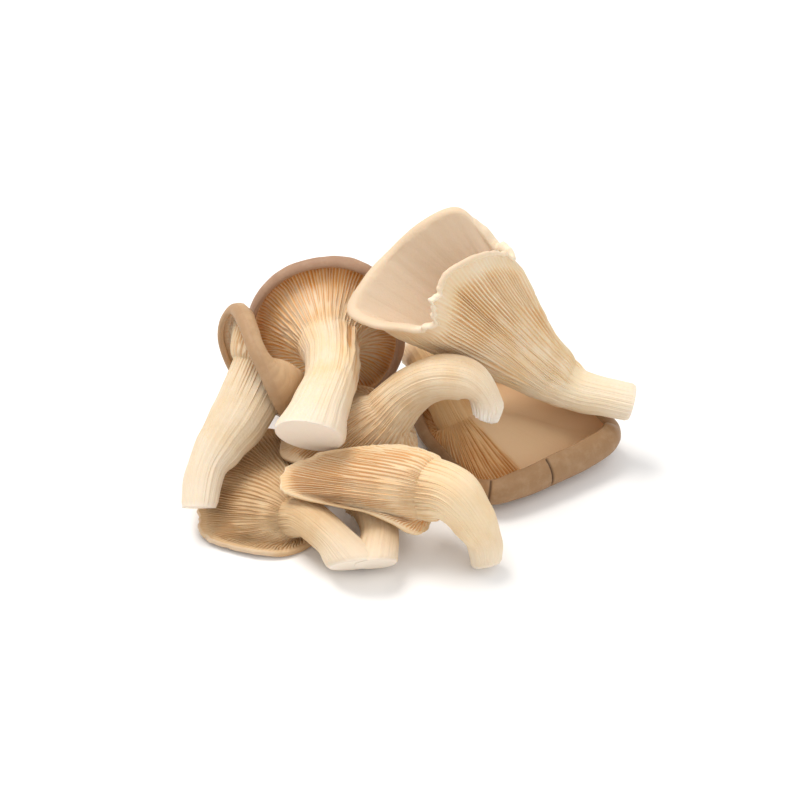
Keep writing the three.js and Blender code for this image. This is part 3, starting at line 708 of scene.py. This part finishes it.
def weave(name, rows):
    """A closed mesh from rows of points: a grid bent round, its seam and its two ends merged."""
    count, columns = len(rows), len(rows[0]["co"])
    bpy.ops.object.select_all(action="DESELECT")
    bpy.ops.mesh.primitive_grid_add(x_subdivisions=columns, y_subdivisions=count - 1, size=1,
                                    location=(0, 0, 0))
    piece = bpy.context.object
    piece.name = name
    mesh = piece.data
    mesh.name = name
    flat = np.empty(len(mesh.vertices) * 3, np.float32)
    mesh.vertices.foreach_get("co", flat)
    flat = flat.reshape(-1, 3)
    column = np.rint((flat[:, 0] + 0.5) * columns).astype(int) % columns
    row = np.rint((flat[:, 1] + 0.5) * (count - 1)).astype(int)

    # What would reach below the surface that the heap lies on is pressed flat against it, and the
    # finest relief stays inside the box of the solids
    places = laid([r["co"] for r in rows])
    places[..., 2] = np.maximum(0, places[..., 2])
    places[0] = places[0].mean(0)
    places[-1] = places[-1].mean(0)
    places = np.clip(places, SOLID_BOX[0], SOLID_BOX[1])
    mesh.vertices.foreach_set("co", places[row, column].astype(np.float32).ravel())
    for mark in MARKS:
        grid = np.array([np.broadcast_to(r.get(mark, 0.0), (columns,)) for r in rows])
        layer = mesh.attributes.new(mark, "FLOAT", "POINT")
        layer.data.foreach_set("value", grid[row, column].astype(np.float32))
    mesh.update()
    bpy.ops.object.mode_set(mode="EDIT")
    bpy.ops.mesh.select_all(action="SELECT")
    bpy.ops.mesh.remove_doubles(threshold=1e-7)
    bpy.ops.mesh.normals_make_consistent(inside=False)
    bpy.ops.object.mode_set(mode="OBJECT")
    bpy.ops.object.shade_smooth()
    if piece.data.uv_layers:
        piece.data.uv_layers[0].name = "growth"
    return piece


def linear(code, alpha=1.0):
    """A colour from its sRGB hex value."""
    values = [int(code[i:i + 2], 16) / 255 for i in (1, 3, 5)]
    return (*(v / 12.92 if v <= 0.04045 else ((v + 0.055) / 1.055) ** 2.4 for v in values), alpha)


def node(tree, kind, inputs=None, out=0, **settings):
    """Adds a node with its settings, its input links or values, and hands back one output."""
    made = tree.nodes.new(kind)
    for key, value in settings.items():
        setattr(made, key, value)
    for key, value in (inputs or {}).items():
        if isinstance(value, bpy.types.NodeSocket):
            tree.links.new(value, made.inputs[key])
        else:
            made.inputs[key].default_value = value
    return made.outputs[out] if len(made.outputs) else made


def mushroom_flesh(name, finish):
    """Raw oyster mushroom: matt, faintly moist flesh that light sinks into, with a satin skin."""
    material = bpy.data.materials.new("oyster mushroom flesh, " + name.split("_")[1])
    material.use_nodes = True
    tree = material.node_tree
    tree.nodes.clear()
    mark = {key: node(tree, "ShaderNodeAttribute", out="Fac", attribute_name=key) for key in MARKS}
    where = node(tree, "ShaderNodeTexCoord", out="Object")
    growth = node(tree, "ShaderNodeUVMap", uv_map="growth")
    lined, streaked = (node(tree, "ShaderNodeMapping", {"Vector": growth, "Scale": scale})
                       for scale in ((130, 5, 1), (60, 9, 1)))

    # Patterns, each with what it lies on, its scale, detail and roughness: clouds of 12 mm, fibres
    # along the growth, mottling of 5 mm, streaks in the skin and a grain of 1 mm
    keys = ("Vector", "Scale", "Detail", "Roughness")
    clouds, fibres, mottle, streaks, grain = (
        node(tree, "ShaderNodeTexNoise", dict(zip(keys, row)))
        for row in ((where, 83, 4.0, 0.6), (lined, 1.0, 3.0, 0.5), (where, 210, 6.0, 0.65),
                    (streaked, 1.0, 4.0, 0.5), (where, 1100, 4.0, 0.5)))

    # Shares, each with what it follows, the range it follows and the range it gives
    keys = ("Value", "From Min", "From Max", "To Min", "To Max")
    # far, patchy and near_rim set where the painted gill shade is laid: weaker towards the foot,
    # uneven in clouds, and spread over the gills near the margin
    shade = finish["shade"]
    warmth, thread, far, patchy, near_rim, edge, light, dark, satin = (
        node(tree, "ShaderNodeMapRange", dict(zip(keys, row)))
        for row in ((clouds, 0.38, 0.66, 0.0, 0.6), (fibres, 0.42, 0.72, 0.0, 0.5),
                    (mark["reach"], -0.7, 0.45, 0.45, 1.0), (clouds, 0.3, 0.6, 0.7 * shade, shade),
                    (mark["reach"], 0.35, 1.0, 0.0, finish["rim_shade_spread"]),
                    (mark["reach"], 0.7, 1.15, 0.0, 0.8), (mottle, 0.45, 0.75, 0.0, 0.18),
                    (streaks, 0.4, 0.75, 0.0, 0.5), (mark["skin"], 0.0, 1.0, 0.62, 0.48)))
    pale = node(tree, "ShaderNodeMath", {0: mark["foot"], 1: 0.7}, operation="MULTIPLY")
    fluff = node(tree, "ShaderNodeMath", {0: mark["torn"], 1: 0.85}, operation="MULTIPLY")
    # Painted shade between the gills: the dark share of the gill mark, scaled by far and patchy
    valley = node(tree, "ShaderNodeMath", {0: 1.0, 1: mark["gill"]}, operation="SUBTRACT")
    tint = node(tree, "ShaderNodeMath", {0: valley, 1: far}, operation="MULTIPLY")
    tint = node(tree, "ShaderNodeMath", {0: tint, 1: patchy}, operation="MULTIPLY", use_clamp=True)

    # Flesh: warmer in clouds and fibres, palest at the foot, tanner where it is stripped of gills,
    # amber as painted shade between the gills and spread over the gills near the margin
    flesh, skin = linear(finish["flesh"]), linear(finish["skin"])
    for share, code in ((warmth, finish["warm"]), (thread, finish["warm"]), (pale, PALE_FOOT),
                        (mark["bareness"], BARE_FLESH), (tint, finish["painted_gill_shade"]),
                        (near_rim, finish["painted_gill_shade"])):
        flesh = node(tree, "ShaderNodeMix", {0: share, 6: flesh, 7: linear(code)}, 2,
                     data_type="RGBA")
    # Skin: darker along the margin, with pale mottling and dark streaks
    for share, code in ((edge, finish["rim"]), (light, SKIN_MOTTLE), (dark, finish["rim"])):
        skin = node(tree, "ShaderNodeMix", {0: share, 6: skin, 7: linear(code)}, 2,
                    data_type="RGBA")
    # Over both: painted shade in the cracks, and cut and torn flesh that is bare, whiter and drier
    colour = node(tree, "ShaderNodeMix", {0: mark["skin"], 6: flesh, 7: skin}, 2, data_type="RGBA")
    for share, code in ((mark["crack"], CRACK_SHADE), (mark["cut"], CUT_FLESH), (fluff, finish["fluff"])):
        colour = node(tree, "ShaderNodeMix", {0: share, 6: colour, 7: linear(code)}, 2,
                      data_type="RGBA")

    relief = node(tree, "ShaderNodeMath", {0: fibres, 1: grain}, operation="ADD")
    bump = node(tree, "ShaderNodeBump", {"Height": relief, "Strength": 0.3, "Distance": 0.0004})
    shader = node(tree, "ShaderNodeBsdfPrincipled", {
        "Base Color": colour, "Roughness": satin, "Normal": bump, "IOR": 1.4,
        "Specular IOR Level": 0.3, "Subsurface Weight": 0.15,
        "Subsurface Radius": (1.0, 0.5, 0.25), "Subsurface Scale": 0.002})
    node(tree, "ShaderNodeOutputMaterial", {"Surface": shader})
    return material


def plant(name, settings, material=None):
    """One mushroom, meshed, finished and in place of its solid."""
    spec = MUSHROOMS[name]
    piece = weave(name + "_fine", Growth(name, spec, settings.gill_height / MM).grow())
    solid = spec.get("node", name)
    piece.data.materials.clear()
    piece.data.materials.append(material or mushroom_flesh(solid, FINISH[solid]))
    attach(piece, "root")
    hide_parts(solid)
    return piece


def aim(thing, target):
    """Turns a lamp or camera towards a point."""
    way = Vector(target) - thing.location
    thing.rotation_euler = way.to_track_quat("-Z", "Y").to_euler()


class HeapSettings(bpy.types.PropertyGroup):
    gill_height: bpy.props.FloatProperty(
        name="Gill height", description="How far a gill stands out of the flesh",
        default=0.0016, min=0.0005, max=0.004, subtype="DISTANCE", unit="LENGTH")
    floor_size: bpy.props.FloatProperty(
        name="Floor size", description="Side of the pale floor",
        default=6.0, min=1.0, max=20.0, subtype="DISTANCE", unit="LENGTH")
    floor_colour: bpy.props.FloatVectorProperty(
        name="Floor colour", description="Colour of the floor", subtype="COLOR",
        size=3, min=0, max=1, default=linear("#fbfbfb")[:3])


class HEAP_OT_standing(bpy.types.Operator):
    """Grow the mushroom that leans at the left and the one that stands at the back"""
    bl_idname = "heap.standing"
    bl_label = "Standing mushrooms"

    def execute(self, context):
        for name in ("mushroom_left", "mushroom_back"):
            plant(name, context.scene.heap)
        return {"FINISHED"}


class HEAP_OT_lying(bpy.types.Operator):
    """Grow the four mushrooms that lie over one another"""
    bl_idname = "heap.lying"
    bl_label = "Lying mushrooms"

    def execute(self, context):
        for name in ("mushroom_top", "mushroom_middle", "mushroom_right", "mushroom_front"):
            plant(name, context.scene.heap)
        return {"FINISHED"}


class HEAP_OT_pair(bpy.types.Operator):
    """Grow the two mushrooms that share one foot and one knife cut"""
    bl_idname = "heap.pair"
    bl_label = "Joined pair"

    def execute(self, context):
        first = plant("mushroom_pair", context.scene.heap)
        plant("mushroom_pair_twin", context.scene.heap, first.data.materials[0])
        return {"FINISHED"}


class HEAP_OT_stage(bpy.types.Operator):
    """Add the pale floor, the soft lights and the camera"""
    bl_idname = "heap.stage"
    bl_label = "Stage"

    def execute(self, context):
        scene = context.scene
        bpy.ops.object.select_all(action="DESELECT")
        bpy.ops.mesh.primitive_plane_add(size=scene.heap.floor_size, location=(0, 0, 0))
        floor = context.object
        floor.name = "floor"
        material = bpy.data.materials.new("matt white card")
        material.use_nodes = True
        shader = material.node_tree.nodes["Principled BSDF"]
        shader.inputs["Base Color"].default_value = (*scene.heap.floor_colour, 1)
        shader.inputs["Roughness"].default_value = 0.9
        floor.data.materials.append(material)

        world = bpy.data.worlds.new("studio")
        world.use_nodes = True
        world.node_tree.nodes["Background"].inputs[0].default_value = (1, 1, 1, 1)
        world.node_tree.nodes["Background"].inputs[1].default_value = ROOM_LIGHT
        scene.world = world
        for where, size, power, tint in LAMPS:
            bpy.ops.object.light_add(type="AREA", location=where)
            lamp = context.object
            lamp.data.size = size
            lamp.data.energy = power
            lamp.data.color = linear(tint)[:3]
            aim(lamp, LAMP_AIM)

        # The photo's white is plain white, so no film curve greys it
        scene.view_settings.view_transform = "Standard"
        bpy.ops.object.camera_add(location=laid(CAMERA_PLACE))
        camera = context.object
        camera.data.sensor_width = SENSOR_WIDTH
        camera.data.lens = FOCAL_SHARE * SENSOR_WIDTH
        camera.data.clip_end = 20
        aim(camera, laid(CAMERA_AIM))
        scene.camera = camera
        return {"FINISHED"}


class HEAP_PT_panel(bpy.types.Panel):
    """Sizes of the heap and its steps"""
    bl_label = "Oyster mushrooms"
    bl_idname = "HEAP_PT_panel"
    bl_space_type = "VIEW_3D"
    bl_region_type = "UI"
    bl_category = "Mushrooms"

    def draw(self, context):
        for key in ("gill_height", "floor_size", "floor_colour"):
            self.layout.prop(context.scene.heap, key)
        for step in STEPS:
            self.layout.operator(step.bl_idname)


STEPS = (HEAP_OT_standing, HEAP_OT_lying, HEAP_OT_pair, HEAP_OT_stage)
CLASSES = (HeapSettings, *STEPS, HEAP_PT_panel)


def register():
    for cls in CLASSES:
        bpy.utils.register_class(cls)
    bpy.types.Scene.heap = bpy.props.PointerProperty(type=HeapSettings)


def unregister():
    del bpy.types.Scene.heap
    for cls in reversed(CLASSES):
        bpy.utils.unregister_class(cls)


def main():
    register()
    bpy.ops.object.select_all(action="DESELECT")
    for step in STEPS:
        group, name = step.bl_idname.split(".")
        getattr(getattr(bpy.ops, group), name)()


if __name__ == "__main__":
    main()
